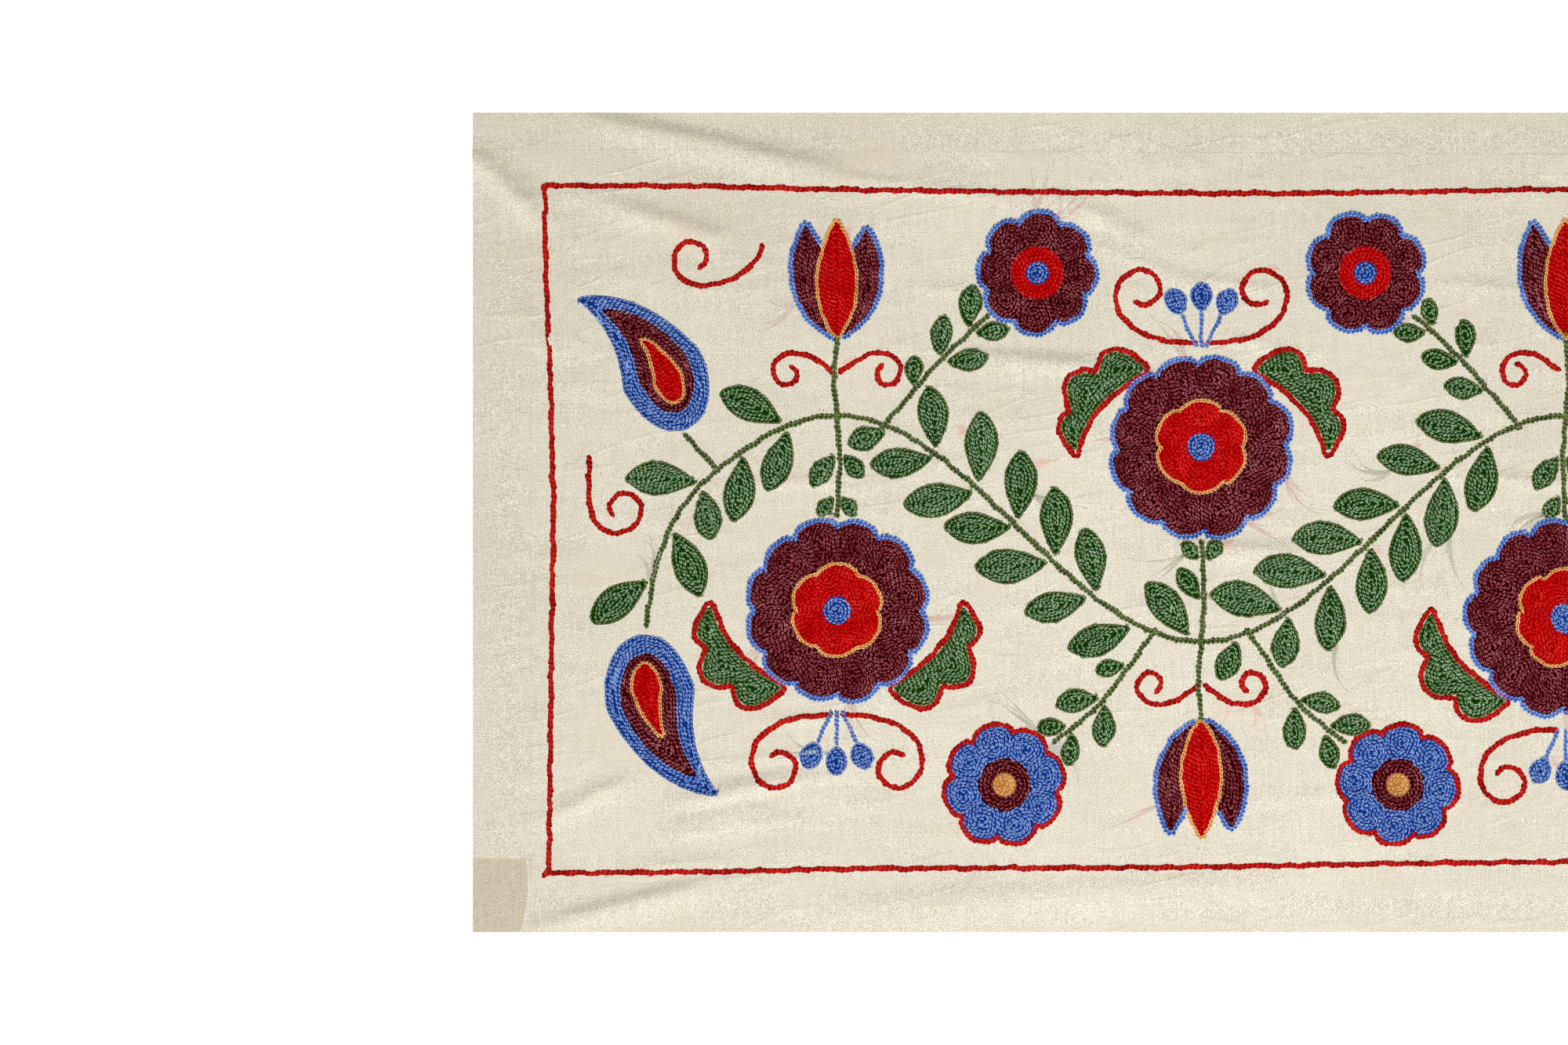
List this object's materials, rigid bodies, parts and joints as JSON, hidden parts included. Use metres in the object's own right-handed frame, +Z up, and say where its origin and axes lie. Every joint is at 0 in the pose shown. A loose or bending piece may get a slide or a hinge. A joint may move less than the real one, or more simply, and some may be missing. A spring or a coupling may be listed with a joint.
{
  "type": "embroidered tablecloth",
  "caption": "Long cotton tablecloth for a dining table, lying flat, with chain stitch flowers, leaves and scrolls inside a stitched red border",
  "frame": {"origin": "centre of the cloth's length and width, on the surface it lies on", "axes": "+X along the cloth's length, +Y across its width, +Z up out of the embroidered face"},
  "size_m": [1.2, 0.45, 0.0037],
  "materials": {
    "ground_cloth": "matt plain weave, unbleached cotton with slubs and small flecks",
    "corner_patch": "matt plain weave, darker cotton",
    "red_thread": "soft silky thread",
    "maroon_thread": "soft silky thread",
    "blue_thread": "soft silky thread",
    "green_thread": "soft silky thread",
    "gold_thread": "soft silky thread"
  },
  "bodies": {
    "root": {"ground_cloth": "ground_cloth", "corner_patch": "corner_patch"}
  },
  "joints": []
}
